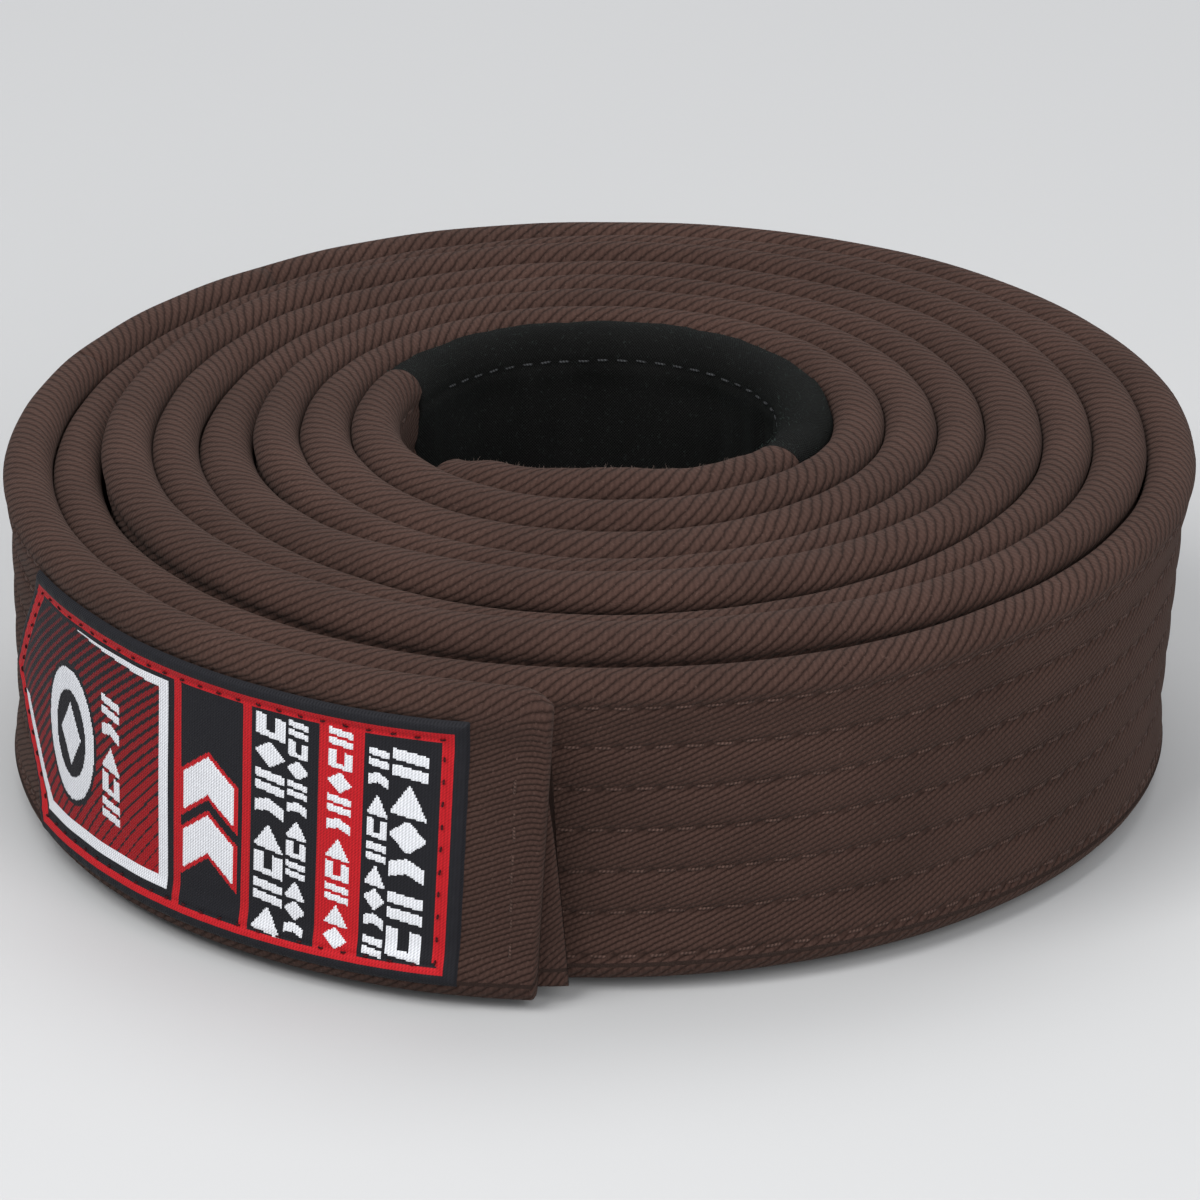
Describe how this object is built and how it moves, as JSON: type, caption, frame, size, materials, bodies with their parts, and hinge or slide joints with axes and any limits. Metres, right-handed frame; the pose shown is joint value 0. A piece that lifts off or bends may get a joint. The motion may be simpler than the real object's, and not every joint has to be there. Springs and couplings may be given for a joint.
{
  "type": "martial arts belt",
  "caption": "Quilted brown cotton grappling belt with a black rank bar and a woven label, rolled flat into a spiral; the outer end peels off and the inner tip swings.",
  "frame": {"origin": "middle of the roll's footprint, on the surface it stands on", "axes": "+Z along the roll's axis, -Y towards the outer end and its label"},
  "size_m": [0.1626, 0.166, 0.045],
  "materials": {
    "brown_twill": "soft cotton twill, matt",
    "black_cloth": "plain cotton, matt",
    "core_web": "loose cotton web, matt",
    "brown_thread": "spun thread, matt",
    "black_thread": "spun thread, matt",
    "label_weave": "damask weave, slight sheen",
    "label_thread": "spun thread, matt"
  },
  "bodies": {
    "coil": {"cover": "brown_twill", "core_inner": "core_web", "core_middle": "core_web", "core_outer": "core_web", "stitch_row_1": "brown_thread", "stitch_row_2": "brown_thread", "stitch_row_3": "brown_thread", "stitch_row_4": "brown_thread", "stitch_row_5": "brown_thread", "stitch_row_6": "brown_thread", "stitch_row_7": "brown_thread", "rank_bar": "black_cloth", "rank_bar_top_stitching": "black_thread", "rank_bar_bottom_stitching": "black_thread", "rank_bar_tip_stitching": "black_thread", "rank_bar_body_stitching": "black_thread"},
    "tip": {"tip_cover": "brown_twill", "tip_core": "core_web", "tip_fold": "brown_twill", "tip_quilting": "brown_thread", "tip_hem_stitching": "brown_thread"},
    "tail_1": {"tail_1_cover": "brown_twill", "tail_1_core": "core_web", "tail_1_quilting": "brown_thread"},
    "tail_2": {"tail_2_cover": "brown_twill", "tail_2_core": "core_web", "tail_2_quilting": "brown_thread"},
    "tail_3": {"tail_3_cover": "brown_twill", "tail_3_core": "core_web", "tail_3_quilting": "brown_thread", "end_fold": "brown_twill", "end_hem_stitching": "brown_thread", "woven_label": "label_weave", "label_stitching": "label_thread"}
  },
  "joints": [
    {"name": "tail_bend_1", "type": "hinge", "parent": "coil", "child": "tail_1", "pos_m": [-0.02724, 0.07807, 0.0225], "axis": [0, 0, -1], "range_deg": [0, 25]},
    {"name": "tail_bend_2", "type": "hinge", "parent": "tail_1", "child": "tail_2", "pos_m": [-0.06184, 0.0538, 0.0225], "axis": [0, 0, -1], "range_deg": [0, 25]},
    {"name": "tail_bend_3", "type": "hinge", "parent": "tail_2", "child": "tail_3", "pos_m": [-0.08006, 0.01472, 0.0225], "axis": [0, 0, -1], "range_deg": [0, 25]},
    {"name": "tip_swing", "type": "hinge", "parent": "coil", "child": "tip", "pos_m": [0.02148, -0.00787, 0.0225], "axis": [0, 0, -1], "range_deg": [0, 30]}
  ],
  "couplings": [
    {"joint": "tail_bend_2", "follows": "tail_bend_1", "ratio": 1},
    {"joint": "tail_bend_3", "follows": "tail_bend_1", "ratio": 1}
  ]
}
